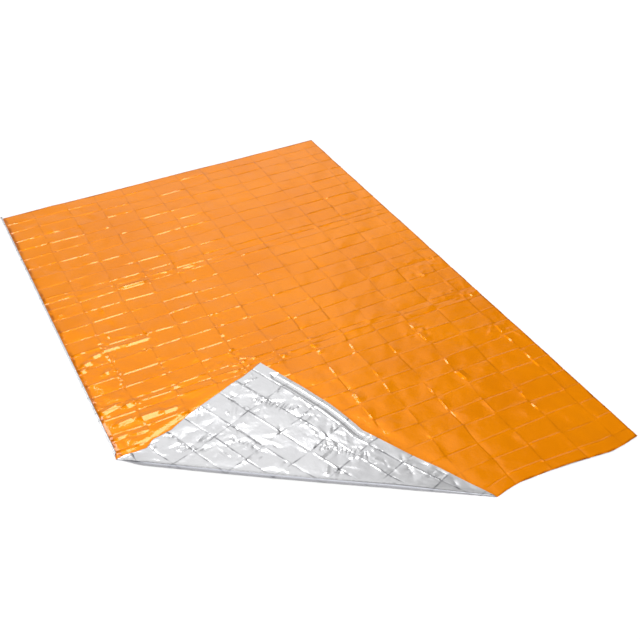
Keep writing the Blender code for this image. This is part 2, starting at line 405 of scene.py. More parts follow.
# Stretches of lengthwise crease that stand up in a steep kink, and how steep their left side is.
PUSHED_CREASES = (
    # across, along, half_length, breadth, slope
    (0.749, 0.833, 0.018, 0.010, 0.295),
    (0.749, 0.790, 0.014, 0.010, 0.305),
    (0.749, 0.682, 0.026, 0.005, 0.305),
    (0.749, 0.532, 0.026, 0.010, 0.305),
    (0.749, 0.457, 0.026, 0.005, 0.305),
    (0.862, 0.761, 0.024, 0.005, 0.34),
    (0.862, 0.610, 0.018, 0.005, 0.34),
    (0.862, 0.534, 0.028, 0.005, 0.35),
    (0.973, 0.688, 0.026, 0.005, 0.36),
    (0.973, 0.456, 0.018, 0.005, 0.38),
    (0.973, 0.388, 0.028, 0.005, 0.38),
    (1.093, 0.762, 0.018, 0.005, 0.39),
    (1.093, 0.700, 0.028, 0.005, 0.39),
    (1.093, 0.556, 0.018, 0.005, 0.40),
    (1.093, 0.468, 0.028, 0.010, 0.40),
    (1.215, 0.302, 0.018, 0.005, 0.43),
    (1.215, 0.240, 0.018, 0.005, 0.44),
    (1.339, 0.612, 0.026, 0.005, 0.43),
    (1.339, 0.557, 0.022, 0.005, 0.43),
    (1.339, 0.450, 0.018, 0.005, 0.43),
    (1.339, 0.408, 0.020, 0.005, 0.44),
)

# How far a kink's other side falls away to the right, and how far each of its ends fades out.
KINK_FALL = 0.022
KINK_END = 0.008
# How wide the film is kept calm along a kink.
KINK_CALM = 0.012

# How far the pointed end of a pressed ridge reaches, and how broad a ridge is whose sides are kept flat.
RIDGE_END = 0.022
BROAD_RIDGE = 0.010
# The film is calm out to this share of a ridge's length and breadth, and lively one share further out.
CALM_OUT_TO = 0.9

# Long, low ridges pressed into the film, each with a tapering end and flat sides.
PRESSED_RIDGES = (
    # across, along, turn, half_length, breadth, slope
    (0.040, 1.064, 20.0, 0.030, 0.016, 0.21),
    (0.062, 1.092, 20.0, 0.034, 0.018, 0.21),
    (0.100, 1.120, 10.0, 0.034, 0.014, 0.21),
    (0.105, 1.018, 14.0, 0.026, 0.014, 0.20),
    (0.132, 0.982, -80.0, 0.022, 0.010, 0.11),
    (0.060, 0.842, 16.0, 0.046, 0.016, 0.19),
    (0.126, 0.838, 16.0, 0.036, 0.018, 0.19),
    (0.085, 0.766, 6.0, 0.044, 0.015, 0.18),
    (0.165, 0.760, 0.0, 0.050, 0.020, 0.17),
    (0.225, 0.752, 0.0, 0.040, 0.014, 0.17),
    (0.052, 0.706, 8.0, 0.030, 0.011, 0.18),
    (0.110, 0.700, -4.0, 0.034, 0.011, 0.17),
    (0.336, 1.462, 0.0, 0.060, 0.016, 0.25),
    (0.165, 1.132, 0.0, 0.060, 0.011, 0.22),
    (0.240, 1.128, 0.0, 0.060, 0.011, 0.22),
    (0.450, 1.484, 0.0, 0.040, 0.009, 0.24),
    (0.560, 1.474, 0.0, 0.040, 0.009, 0.24),
    (0.645, 0.826, -35.0, 0.020, 0.016, 0.21),
    (0.512, 0.882, -35.0, 0.020, 0.007, 0.20),
    (0.532, 0.872, -35.0, 0.022, 0.007, 0.20),
    (0.552, 0.862, -35.0, 0.020, 0.007, 0.20),
    (0.480, 0.860, -20.0, 0.030, 0.007, 0.20),
    (0.122, 0.360, 110.0, 0.034, 0.016, 0.27),
    (0.155, 0.395, 110.0, 0.024, 0.012, 0.25),
    (0.280, 0.018, 0.0, 0.220, 0.018, 0.335),
)

# Fans of short wrinkles, side by side along a line.
WRINKLE_FANS = (
    # from_across, from_along, to_across, to_along, count, half_length, breadth, slope
    (0.105, 0.145, 0.225, 0.100, 11, 0.022, 0.0045, 0.30),
    (0.395, 0.168, 0.530, 0.090, 13, 0.024, 0.0045, 0.30),
    (0.185, 0.314, 0.240, 0.292, 5, 0.014, 0.0045, 0.28),
)
# A wrinkle in a fan is out of line by up to this many degrees.
WRINKLE_SLANT = 16.0


def all_ridges():
    """Every pressed ridge and every wrinkle of the fans, each as a row of the table of pressed ridges."""
    draw = np.random.default_rng(31)
    ridges = list(PRESSED_RIDGES)
    for from_across, from_along, to_across, to_along, count, half_length, breadth, slope in WRINKLE_FANS:
        start, stop = np.array((from_across, from_along)), np.array((to_across, to_along))
        turn = math.degrees(math.atan2(stop[1] - start[1], stop[0] - start[0])) + 90.0
        for step in range(count):
            place = start + (stop - start) * (step + draw.uniform(-0.2, 0.2)) / (count - 1)
            length = half_length * draw.uniform(0.6, 1.1)
            slanted = turn + draw.uniform(-WRINKLE_SLANT, WRINKLE_SLANT)
            ridges.append((*place, slanted, length, breadth, slope))
    return ridges


# Places where handling has crumpled the film, each with so many crumples of about this size and height.
CRUMPLED_PLACES = (
    # across, along, spread, count, size, height
    (0.400, 0.325, 0.016, 4, 0.018, 0.0026),
    (0.500, 0.880, 0.030, 7, 0.014, 0.0018),
    (0.500, 0.840, 0.020, 5, 0.012, 0.0018),
    (0.645, 0.830, 0.016, 3, 0.014, 0.0022),
    (1.325, 0.900, 0.050, 9, 0.014, 0.0020),
    (1.325, 1.050, 0.050, 9, 0.014, 0.0020),
    (1.335, 0.620, 0.030, 5, 0.012, 0.0020),
    (1.095, 0.720, 0.025, 5, 0.013, 0.0020),
    (0.310, 1.420, 0.030, 4, 0.014, 0.0018),
    (0.540, 1.120, 0.020, 4, 0.012, 0.0018),
)


def add_ridge(relief, across, along, place, turn, half_length, breadth, slope):
    """Adds one low ridge with flat sides of this slope, its breadth tapering to nothing at both ends."""
    near, right, ahead = close_to(place, half_length + breadth, across, along)
    down, aside = turned(right, ahead, turn)
    taper = np.clip((half_length - np.abs(down)) / min(half_length, RIDGE_END), 0.0, 1.0)
    relief[near] += slope * np.clip(breadth * taper - np.abs(aside), 0.0, None)


def pushed_creases(across, along):
    """The steep kinks in the lengthwise creases: a flat left side, and a shorter fall to the right."""
    relief = np.zeros(len(across))
    for place_across, place_along, half_length, breadth, slope in PUSHED_CREASES:
        aside = across - place_across + CREASE_REACH
        side = np.minimum(aside, breadth - (aside - breadth) * breadth / KINK_FALL)
        length = np.clip((half_length - np.abs(along - place_along)) / KINK_END, 0.0, 1.0)
        relief += slope * np.clip(side, 0.0, None) * length
    return relief


# Small kinks scattered along the left half's creases, beyond the first few cross creases.
SMALL_KINKS = 90
SMALL_KINK_COLUMNS = 6
SMALL_KINK_FIRST_ROW = 7
SMALL_KINK_SCATTER = 0.010
SMALL_KINK_SLOPES = (0.16, 0.22)
STEEPER_PER_METRE = 0.04
SMALL_KINK_BREADTHS = (0.004, 0.009)
SMALL_KINK_TURNS = (-0.7, 0.2)
SMALL_KINK_HALF_LENGTHS = (0.008, 0.018)


def pressed_relief(across, along):
    """The ridges and wrinkles that stand out one by one, and the small kinks."""
    draw = np.random.default_rng(29)
    relief = np.zeros(len(across))
    for place_across, place_along, turn, half_length, breadth, slope in all_ridges():
        place = (place_across, place_along)
        add_ridge(relief, across, along, place, math.radians(turn), half_length, breadth, slope)
    rows = right_hand_places()
    for _ in range(SMALL_KINKS):
        crease = LENGTHWISE_CREASES[draw.integers(SMALL_KINK_COLUMNS)]
        place = np.array((crease, rows[draw.integers(SMALL_KINK_FIRST_ROW, len(rows))]))
        place += draw.normal(0.0, SMALL_KINK_SCATTER, 2)
        slope = draw.uniform(*SMALL_KINK_SLOPES) + STEEPER_PER_METRE * place[1]
        breadth = draw.uniform(*SMALL_KINK_BREADTHS)
        turn = draw.uniform(*SMALL_KINK_TURNS)
        half_length = draw.uniform(*SMALL_KINK_HALF_LENGTHS)
        add_ridge(relief, across, along, place, turn, half_length, breadth, slope)
    return relief


def calm_round_ridges(across, along):
    """0 on the kinks and the broad pressed ridges, whose sides are flat, and 1 away from them."""
    calm = np.full(len(across), 1.0)
    flat_sided = [row[:5] for row in PRESSED_RIDGES if row[4] >= BROAD_RIDGE]
    flat_sided += [(row[0], row[1], 90.0, row[2], KINK_CALM) for row in PUSHED_CREASES]
    for place_across, place_along, turn, half_length, breadth in flat_sided:
        down, aside = turned(across - place_across, along - place_along, math.radians(turn))
        calm *= smooth_step(np.hypot(down / half_length, aside / breadth) - CALM_OUT_TO)
    return calm


# Short creases from handling: how many, how far from a crossing the half of them lie that are near one, and
# how long, wide and high each is.
SHORT_CREASES = 1500
NEAR_A_CROSSING = 0.5
CROSSING_SCATTER = 0.018
SHORT_HALF_LENGTHS = (0.010, 0.042)
SHORT_REACHES = (0.005, 0.010)
SHORT_HEIGHTS = (0.3, 1.2)
# They are lower on the right, and on the near left, where the pressed ridges stand.
RIGHT_LIVELINESS = 0.60
LIVELY_UP_TO = 0.75
LIVELY_WIDTH = 0.6
CALMED_BY_RIDGES = 0.6
RIDGES_UP_TO_ACROSS = 0.30
RIDGES_UP_TO_ALONG = 1.2
# The folded corner has more of them, clear of its roll.
FLAP_CREASES = 150
FLAP_HALF_LENGTHS = (0.010, 0.040)
FLAP_REACHES = (0.005, 0.008)
FLAP_HEIGHTS = (0.5, 1.6)
CLEAR_OF_THE_ROLL = 0.01


def handling_relief(across, along):
    """Short creases and crumples from handling: high on the left, near crossings and on the folded corner."""
    draw = np.random.default_rng(19)
    relief = np.zeros(len(across))
    rows = right_hand_places()
    for _ in range(SHORT_CREASES):
        if draw.random() < NEAR_A_CROSSING:
            crease = LENGTHWISE_CREASES[draw.integers(len(LENGTHWISE_CREASES))]
            place = np.array((crease, rows[draw.integers(len(rows))]))
            place += draw.normal(0.0, CROSSING_SCATTER, 2)
        else:
            place = np.array((draw.random(), draw.random())) * (SHEET_WIDTH, SHEET_LENGTH)
        to_the_left = float(smooth_step((LIVELY_UP_TO - place[0]) / LIVELY_WIDTH))
        lively = RIGHT_LIVELINESS + (1.0 - RIGHT_LIVELINESS) * to_the_left
        on_corner = (place - FOLD_LEFT_END) @ FOLD_OUTWARD > 0.0
        if on_corner:
            lively = 1.0
        turn = draw.uniform(0.0, math.pi)
        half_length = draw.uniform(*SHORT_HALF_LENGTHS)
        reach = draw.uniform(*SHORT_REACHES)
        by_the_ridges = smooth_step((RIDGES_UP_TO_ACROSS - place[0]) / 0.1)
        by_the_ridges *= smooth_step((RIDGES_UP_TO_ALONG - place[1]) / 0.2)
        lively *= 1.0 - CALMED_BY_RIDGES * float(by_the_ridges) * (not on_corner)
        height = SHORT_CREASE * lively * draw.uniform(*SHORT_HEIGHTS) * draw.choice((-1.0, 1.0))
        add_short_crease(relief, across, along, place, turn, half_length, reach, height)
    for _ in range(FLAP_CREASES):
        place = FOLD_NEAR_END * (draw.random(), 0.0) + FOLD_LEFT_END * (0.0, draw.random())
        if past_the_fold(*place)[1] > CLEAR_OF_THE_ROLL:
            half_length = draw.uniform(*FLAP_HALF_LENGTHS)
            height = SHORT_CREASE * draw.uniform(*FLAP_HEIGHTS) * draw.choice((-1.0, 1.0))
            reach = draw.uniform(*FLAP_REACHES)
            turn = draw.uniform(0.0, math.pi)
            add_short_crease(relief, across, along, place, turn, half_length, reach, height)
    for place_across, place_along, spread, count, size, height in CRUMPLED_PLACES:
        for _ in range(count):
            place = np.array((place_across, place_along)) + draw.normal(0.0, spread, 2)
            breadth = size * draw.uniform(0.6, 1.2)
            rise = height * draw.uniform(0.4, 1.0) * draw.choice((-1.0, 1.0))
            add_crumple(relief, across, along, place, breadth, rise, draw)
    return relief


def slow_waves(across, along):
    """The gentle rise and fall of a limp film that doesn't lie quite flat."""
    return WAVE_HEIGHT * (
        np.sin(9.0 * across + 3.1 * along + 0.4) * np.sin(7.3 * along - 2.0 * across)
        + 0.6 * np.sin(21.0 * across - 8.0 * along + 1.7)
        + 0.5 * np.sin(17.0 * along + 12.0 * across)
    )


# ---------------------------------------------------------------- the folded film


def past_the_fold(across, along):
    """(distance along the fold line, distance past it towards the folded corner)."""
    right, ahead = across - FOLD_LEFT_END[0], along - FOLD_LEFT_END[1]
    return (
        right * FOLD_DIRECTION[0] + ahead * FOLD_DIRECTION[1],
        right * FOLD_OUTWARD[0] + ahead * FOLD_OUTWARD[1],
    )


def lip_film(along):
    """How much of the film the lip takes up, at this place along the left edge."""
    return LIP_FILM * smooth_step((along - LIP_START) / LIP_TAPER)


def fold_radius(down_the_fold):
    """The radius of the rolled fold, at this distance down the fold from its left end."""
    share = down_the_fold / FOLD_LENGTH
    left = FLATTER_AT_LEFT_END * (1.0 - smooth_step(share / FLATTER_LEFT_SHARE))
    near = FLATTER_AT_NEAR_END * smooth_step((share - (1.0 - FLATTER_NEAR_SHARE)) / FLATTER_NEAR_SHARE)
    return FOLD_RADIUS * (1.0 - left - near)


def flap_place(across, along, start, reach):
    """Where points of the folded corner lie: it lies a little skewed, its edges drawn in."""
    foot = FOLD_LEFT_END - (FOLD_LEFT_END @ FOLD_DIRECTION) * FOLD_DIRECTION
    tip_reach = float(-(FOLD_LEFT_END @ FOLD_OUTWARD)) - MOST_HALF_TURN
    place = start + reach[:, None] * (FOLDED_TIP - foot) / tip_reach
    share_along = along / FOLD_LEFT_END[1]
    share_across = across / FOLD_NEAR_END[0]
    for share, far_from_edge, edge, end in (
        (1.0 - share_along, share_across, FLAP_LEFT_EDGE, FOLD_LEFT_END),
        (1.0 - share_across, share_along, FLAP_NEAR_EDGE, FOLD_NEAR_END),
    ):
        inward = (end - FOLDED_TIP)[::-1] * (-1.0, 1.0)
        inward = inward / np.linalg.norm(inward)
        inward = inward * np.sign(inward @ (foot - FOLDED_TIP))
        felt = 1.0 - smooth_step(far_from_edge / FLAP_EDGE_REACH)
        felt *= smooth_step(reach / DRAWN_IN_PAST_ROLL)
        place = place + (along_table(edge, share) * felt)[:, None] * inward
    return place


def laid(across, along):
    """Moves places on the folded film to where they lie, by the laid corners and the uneven edges."""
    down, past = past_the_fold(across, along)
    bow = FOLD_BOW * np.sin(math.pi * np.clip(down / FOLD_LENGTH, 0.0, 1.0))
    bow *= np.exp(-((past / FOLD_BOW_REACH) ** 2))
    across = across + bow * FOLD_OUTWARD[0]
    along = along + bow * FOLD_OUTWARD[1]
    along = along + along_table(NEAR_EDGE, across) * np.maximum(0.0, 1.0 - along / NEAR_EDGE_REACH)
    across_share = (across / SHEET_WIDTH)[:, None]
    along_share = (along / SHEET_LENGTH)[:, None]
    near = NEAR_LEFT + across_share * (NEAR_RIGHT - NEAR_LEFT)
    far = FAR_LEFT + across_share * (FAR_RIGHT - FAR_LEFT)
    return near + along_share * (far - near)


def under_the_flap(across, along):
    """1 where the folded corner lies over the film, 0 in the open, with a soft border."""
    inside = np.full(len(across), 1.0)
    corners = (FOLD_LEFT_END, FOLD_NEAR_END, FOLDED_TIP)
    for start, end, (outside, width) in zip(corners, corners[1:] + corners[:1], FLAP_BORDERS):
        side = (end - start)[::-1] * (-1.0, 1.0)
        side = side / np.linalg.norm(side)
        off = (across - start[0]) * side[0] + (along - start[1]) * side[1]
        inside *= smooth_step((off + outside) / width)
    return inside


# The shares of the packet's relief that are calmed round the ridges, and that stay.
CALMED_PACKET = 0.7
STEADY_PACKET = 0.3


def folded(across, along):
    """The places of points of the flat film once it is creased, folded and laid out."""
    straight = on_straight_creases(across, along)
    down, past = past_the_fold(across, along)
    packet = packet_relief(*straight)
    relief = handling_relief(across, along) + facet_relief(*straight)
    relief += CALMED_PACKET * packet
    relief *= calm_round_ridges(across, along)
    relief += STEADY_PACKET * packet + pushed_creases(*straight) + pressed_relief(across, along)
    place = np.column_stack([across, along])
    base = relief + slow_waves(across, along)

    lip = lip_film(along)
    clear_of_lip = np.clip((across - lip) / CALM_BESIDE_LIP, 0.0, 1.0)
    clear_of_fold = np.clip(-past / CALM_BESIDE_FOLD, 0.0, 1.0)
    base = np.maximum(MEAN_HEIGHT + base, 0.0) + FLOOR_GAP
    height = base * (CALMEST + (1.0 - CALMEST) * np.minimum(clear_of_lip, clear_of_fold))
    height *= 1.0 - PRESSED_UNDER_FLAP * under_the_flap(across, along)

    curled = (lip - across > 0.0) & (past <= 0.0)
    angle = (lip - across) / LIP_RADIUS
    place[curled, 0] = (lip - LIP_RADIUS * np.sin(angle))[curled]
    height = np.where(curled, height + LIP_RADIUS * (1.0 - np.cos(angle)), height)

    radius = fold_radius(down)
    start = FOLD_LEFT_END + down[:, None] * FOLD_DIRECTION
    turning = (past > 0.0) & (past < math.pi * radius)
    angle = past / radius
    rolled = start + (radius * np.sin(angle))[:, None] * FOLD_OUTWARD
    place[turning] = rolled[turning]
    height = np.where(turning, FILM_THICKNESS + radius * (1.0 - np.cos(angle)), height)

    reach = past - math.pi * radius
    over = reach >= 0.0
    place[over] = flap_place(across, along, start, reach)[over]
    fall = smooth_step(reach / FLAP_FALL_LENGTH)
    back = 2.0 * radius * (1.0 - fall) + (FLAP_REST_HEIGHT + ROOM_FOR_RELIEF) * fall
    back -= FOLD_DIP * smooth_step(reach / FOLD_DIP_LENGTH) * (radius / FOLD_RADIUS)
    back -= relief * np.clip(reach / FLAP_CALM_LENGTH, 0.0, 1.0)
    height = np.where(over, FILM_THICKNESS + np.maximum(back, LEAST_FLAP_HEIGHT), height)

    drawn_in = smooth_step((along - DRAWN_IN_START) / DRAWN_IN_LENGTH)
    drawn_in *= 1.0 - smooth_step((along - LIP_START) / LIP_TAPER)
    place[:, 0] += (LIP_FILM - LIP_RADIUS) * drawn_in * smooth_step(1.0 - across / DRAWN_IN_WIDTH)
    return np.column_stack([laid(place[:, 0], place[:, 1]), height])


def evenly_between(low, high, spacing):
    """The lines that divide a stretch into even steps no wider than the spacing, without its ends."""
    steps = max(1, math.ceil((high - low) / spacing))
    return [low + (high - low) * step / steps for step in range(1, steps)]


def grid_lines(start, creases, end, spacing):
    """Grid lines from start to end: close together at each crease, and evenly spaced between."""
    lines = [start]
    for crease in creases:
        close = [crease - CREASE_REACH, crease, crease + CREASE_REACH]
        lines += evenly_between(lines[-1], close[0], spacing) + close
    return lines + evenly_between(lines[-1], end, spacing) + [end]


# The grid's spacing across the film, and along it up to a place and past it.
COLUMN_SPACING = 0.0110
NEAR_ROW_SPACING = 0.0095
FAR_ROW_SPACING = 0.0135
FINER_UP_TO = 1.1
# The grid is also cut beside the fold's roll, at these distances past its start.
CUTS_BEFORE_ROLL = (-0.03, -0.012)
# A cut that passes this close to a point goes through it.
CUT_SNAP = 0.0003
RIDGE_CUT_SNAP = 0.0004
# Where the grid is refined, edges shorter than this aren't halved: on the flap, and round crumples.
LEAST_FLAP_EDGE = 0.005
LEAST_CRUMPLE_EDGE = 0.0035
# The grid is fine out to this many spreads of a crumpled place, and this much further.
FINE_SPREADS = 1.6
FINE_MARGIN = 0.02
# The sides of a ridge are cut too where it is this many times as long as its ends.
CUT_SIDES_FROM = 1.3


def flat_grid():
    """The flat film as a grid on its crease lines, finer near its near edge."""
    columns = [LIP_FILM * step / LIP_STEPS for step in range(LIP_STEPS)]
    columns += grid_lines(LIP_FILM, LENGTHWISE_CREASES, SHEET_WIDTH, COLUMN_SPACING)
    straight = right_hand_places()
    rows = grid_lines(0.0, straight[straight < FINER_UP_TO], FINER_UP_TO, NEAR_ROW_SPACING)
    rows += grid_lines(FINER_UP_TO, straight[straight > FINER_UP_TO], SHEET_LENGTH, FAR_ROW_SPACING)[1:]
    rows = np.array(rows)
    knots = np.concatenate([[0.0], straight, [SHEET_LENGTH]])
    shift_across, shift_along = crease_jitter()
    points = []
    for column in columns:
        across = np.full(len(rows), column)
        moved = np.concatenate([[0.0], cross_crease_places(column), [SHEET_LENGTH]])
        along = np.interp(rows, knots, moved) + between_crossings(shift_along, across, rows)
        across = across + between_crossings(shift_across, across, rows)
        points += [(*place, 0.0) for place in zip(across.tolist(), along.tolist())]
    count = len(rows)
    faces = [
        (left * count + low, (left + 1) * count + low, (left + 1) * count + low + 1, left * count + low + 1)
        for left in range(len(columns) - 1)
        for low in range(count - 1)
    ]
    mesh = bpy.data.meshes.new("blanket_film")
    mesh.from_pydata(points, [], faces)
    return mesh


def cut_along_fold(film):
    """Cuts the grid along the turn of the fold and beside it."""
    turn = [MOST_HALF_TURN * step / FOLD_STEPS for step in range(FOLD_STEPS + 1)]
    for past in [*CUTS_BEFORE_ROLL, *turn]:
        bmesh.ops.bisect_plane(
            film,
            geom=film.verts[:] + film.edges[:] + film.faces[:],
            dist=CUT_SNAP,
            plane_co=(*(FOLD_LEFT_END + past * FOLD_OUTWARD), 0.0),
            plane_no=(*FOLD_OUTWARD, 0.0),
        )


def refine_flap(film):
    """Halves the grid on the folded corner."""
    outward = Vector((*FOLD_OUTWARD, 0.0))
    corner = Vector((*FOLD_LEFT_END, 0.0))
    past_the_roll = MOST_HALF_TURN - 1e-5
    edges = [
        edge
        for edge in film.edges
        if all((end.co - corner) @ outward > past_the_roll for end in edge.verts)
        and edge.calc_length() > LEAST_FLAP_EDGE
    ]
    bmesh.ops.subdivide_edges(film, edges=edges, cuts=1, use_grid_fill=True)


def flat_film():
    """The flat film as a mesh whose edges lie on its creases, on the turn of the fold and on its ridges."""
    mesh = flat_grid()
    film = bmesh.new()
    film.from_mesh(mesh)
    cut_along_fold(film)
    refine_flap(film)
    refine_crumples(film)
    for ridge in all_ridges():
        cut_along_ridge(film, *ridge[:5])
    many_sided = [face for face in film.faces if len(face.verts) > 4]
    bmesh.ops.triangulate(film, faces=many_sided)
    film.to_mesh(mesh)
    film.free()
    return mesh


def cut_along_ridge(film, across, along, turn, half_length, breadth):
    """Cuts the grid along the top of a pressed ridge and along the lines where its sides meet the film."""
    place = Vector((across, along, 0.0))
    ahead = Vector((math.cos(math.radians(turn)), math.sin(math.radians(turn)), 0.0))
    aside = Vector((-ahead.y, ahead.x, 0.0))
    lines = [(place, aside)]
    if half_length > CUT_SIDES_FROM * RIDGE_END:
        lines += [(place + breadth * aside, aside), (place - breadth * aside, aside)]
    for end in (-1.0, 1.0):
        for side in (-1.0, 1.0):
            slant = end * breadth * ahead + side * min(half_length, RIDGE_END) * aside
            lines.append((place + end * half_length * ahead, slant))
    points = {point for point in film.verts if (point.co - place).length_squared < half_length**2}
    faces = {face for point in points for face in point.link_faces}
    corners = {point for face in faces for point in face.verts}
    sides = {edge for face in faces for edge in face.edges}
    geom = [*corners, *sides, *faces]
    for through, normal in lines:
        cut = bmesh.ops.bisect_plane(
            film, geom=geom, dist=RIDGE_CUT_SNAP, plane_co=through, plane_no=normal
        )
        geom = cut["geom"]


def refine_crumples(film):
    """Halves the grid round crumples and ridges, outside the folded corner, which is already finer."""
    places = [row[:3] for row in CRUMPLED_PLACES]
    places += [(across, along, length / FINE_SPREADS) for across, along, _, length, _, _ in PRESSED_RIDGES]
    places = np.array(places)
    places = places[(places[:, :2] - FOLD_LEFT_END) @ FOLD_OUTWARD < 0.0]
    ends = np.array([point.co[:2] for point in film.verts])
    gaps = np.linalg.norm(ends[:, None, :] - places[None, :, :2], axis=2)
    gaps = gaps - FINE_SPREADS * places[:, 2] - FINE_MARGIN
    crumpled = gaps.min(1) < 0.0
    film.verts.index_update()
    edges = [
        edge
        for edge in film.edges
        if all(crumpled[end.index] for end in edge.verts) and edge.calc_length() > LEAST_CRUMPLE_EDGE
    ]
    bmesh.ops.subdivide_edges(film, edges=edges, cuts=1, use_grid_fill=True)


def keep_flat_places(mesh):
    """Keeps each point's place on the flat film as the UV map, and gives it back in metres."""
    flat = np.zeros(len(mesh.vertices) * 3, np.float32)
    mesh.vertices.foreach_get("co", flat)
    flat = flat.reshape(-1, 3)[:, :2].astype(float)
    corner = np.zeros(len(mesh.loops), np.int32)
    mesh.loops.foreach_get("vertex_index", corner)
    places = mesh.uv_layers.new(name="flat_film")
    places.data.foreach_set("uv", (flat[corner] / UV_METRES).astype(np.float32).ravel())
    return flat


# How much darker the coating is drawn along creases, where it is worn and partly as painted shade, along cut
# edges as painted shade, and beside the lip as the lip's painted shadow; and how wide each line is.
CREASE_WEAR_AND_SHADE = 0.75
CREASE_WEAR_AND_SHADE_REACH = 0.005
EDGE_PAINTED_SHADE = 1.6
EDGE_PAINTED_SHADE_REACH = 0.006
LIP_PAINTED_SHADOW_MIDDLE = 0.009
LIP_PAINTED_SHADOW_REACH = 0.009
# The roll of the fold is painted grey all round, as painted shade and painted reflection of the dark studio,
# and darker along one line, as a painted shadow. Places on it are angles in radians.
ROLL_PAINTED_SHADE = 0.72
ROLL_PAINTED_SHADE_START = 0.3
ROLL_PAINTED_SHADE_END = 3.0
ROLL_PAINTED_SHADE_FADE = 0.5
DARK_LINE_PAINTED_SHADOW = 0.28
DARK_LINE_ANGLE = 2.5
DARK_LINE_REACH = 0.6


def keep_wear_and_painted_shade(mesh, flat):
    """Keeps where the coating is drawn darker: along creases by wear and painted shade, along the cut edges
    and beside the lip as painted shade, and on the fold as painted shade and reflection.
    """
    across, along = on_straight_creases(flat[:, 0], flat[:, 1])
    beside = np.abs(across[:, None] - LENGTHWISE_CREASES).min(1)
    near_cross = np.abs(along[:, None] - right_hand_places()).min(1)
    # Darker along the creases: partly the coating's wear, partly painted shade.
    crease_wear_and_shade = CREASE_WEAR_AND_SHADE * crease_line(np.minimum(beside, near_cross), CREASE_WEAR_AND_SHADE_REACH)
    to_near_edge = np.where(across > FOLD_NEAR_END[0], along, 1.0)
    to_edge = np.minimum.reduce([SHEET_WIDTH - across, to_near_edge, SHEET_LENGTH - along])
    # A painted shade along the cut edges.
    edge_painted_shade = EDGE_PAINTED_SHADE * crease_line(to_edge, EDGE_PAINTED_SHADE_REACH)
    # A painted shadow of the lip on the film beside it.
    lip_painted_shadow = crease_line(across - LIP_FILM - LIP_PAINTED_SHADOW_MIDDLE, LIP_PAINTED_SHADOW_REACH) * (along > LIP_START)
    crease_wear_and_shade = np.maximum.reduce([crease_wear_and_shade, edge_painted_shade, EDGE_PAINTED_SHADE * lip_painted_shadow])
    down, past = past_the_fold(flat[:, 0], flat[:, 1])
    turned = past / fold_radius(down)
    # Painted shade and reflection all round the roll, and a painted shadow line on it.
    fold_painted_shade = ROLL_PAINTED_SHADE * smooth_step(turned / ROLL_PAINTED_SHADE_START)
    fold_painted_shade *= 1.0 - smooth_step((turned - ROLL_PAINTED_SHADE_END) / ROLL_PAINTED_SHADE_FADE)
    fold_painted_shade += DARK_LINE_PAINTED_SHADOW * crease_line(turned - DARK_LINE_ANGLE, DARK_LINE_REACH)
    for name, wear_and_shade in (("crease_wear_and_shade", crease_wear_and_shade), ("fold_painted_shade", fold_painted_shade)):
        mesh.attributes.new(name, "FLOAT", "POINT").data.foreach_set("value", wear_and_shade.astype(np.float32))


def make_blanket():
    """The creased, folded film as one piece, orange on its face and silver on its back."""
    mesh = flat_film()
    flat = keep_flat_places(mesh)
    keep_wear_and_painted_shade(mesh, flat)
    places = folded(flat[:, 0], flat[:, 1])
    low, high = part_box("blanket")
    first, last = places.min(0), places.max(0)
    shift = [(low[axis] + high[axis] - first[axis] - last[axis]) / 2 for axis in range(2)]
    places[:, :2] += shift
    mesh.vertices.foreach_set("co", places.astype(np.float32).ravel())
    mesh.update()
    mesh.materials.append(orange_coated_film())
    mesh.materials.append(silver_metallised_film())
    blanket = bpy.data.objects.new("blanket_film", mesh)
    bpy.context.scene.collection.objects.link(blanket)
    mesh.shade_smooth()
    shell = blanket.modifiers.new("film_thickness", "SOLIDIFY")
    shell.thickness = FILM_THICKNESS
    shell.offset = -1.0
    shell.use_even_offset = False
    shell.material_offset = 1
    shell.material_offset_rim = 1
    bpy.ops.object.select_all(action="DESELECT")
    bpy.context.view_layer.objects.active = blanket
    blanket.select_set(True)
    bpy.ops.object.modifier_apply(modifier=shell.name)
    rest_underside(blanket.data, flat)
    return blanket


# An edge is sharp where its two faces meet at more than this many degrees: along a crease, and elsewhere.
SHARP_ON_CREASE = 5.0
SHARP_ELSEWHERE = 9.0
# Two places on the film this close together count as level with each other.
LEVEL_WITHIN = 0.0005
BESIDE_ROLL = 0.001


def sharpen_creases(film, flat):
    """Marks the edges along creases as sharp, so that the film is flat between them; not where it rolls."""
    across, along = flat[:, 0], flat[:, 1]
    down, past = past_the_fold(across, along)
    lip = lip_film(along)
    fold_shade_share = (past > -BESIDE_ROLL) & (past < math.pi * fold_radius(down) + BESIDE_ROLL)
    rolled = fold_shade_share | (across < lip + BESIDE_ROLL)
    straight_across, straight_along = on_straight_creases(across, along)
    off_long = np.abs(straight_across[:, None] - LENGTHWISE_CREASES).min(1)
    off_cross = np.abs(straight_along[:, None] - right_hand_places()).min(1)
    film.normal_update()
    count = len(flat)
    for edge in film.edges:
        first, second = (end.index % count for end in edge.verts)
        if len(edge.link_faces) != 2 or (rolled[first] and rolled[second]):
            continue
        on_cross = max(off_cross[first], off_cross[second]) < CREASE_REACH + LEVEL_WITHIN
        on_long = max(off_long[first], off_long[second]) < CREASE_REACH + LEVEL_WITHIN
        runs_across = abs(straight_along[first] - straight_along[second]) < LEVEL_WITHIN
        runs_along = abs(straight_across[first] - straight_across[second]) < LEVEL_WITHIN
        on_crease = (on_cross and runs_across) or (on_long and runs_along)
        least = SHARP_ON_CREASE if on_crease else SHARP_ELSEWHERE
        if edge.calc_face_angle(0.0) > math.radians(least):
            edge.smooth = False


# The underside rests flat from this far inside the free edges, over this width, at this height.
RESTS_FROM = 0.010
RESTS_OVER = 0.020
REST_LEVEL = 0.00002
RESTS_BEFORE_FOLD = 0.01


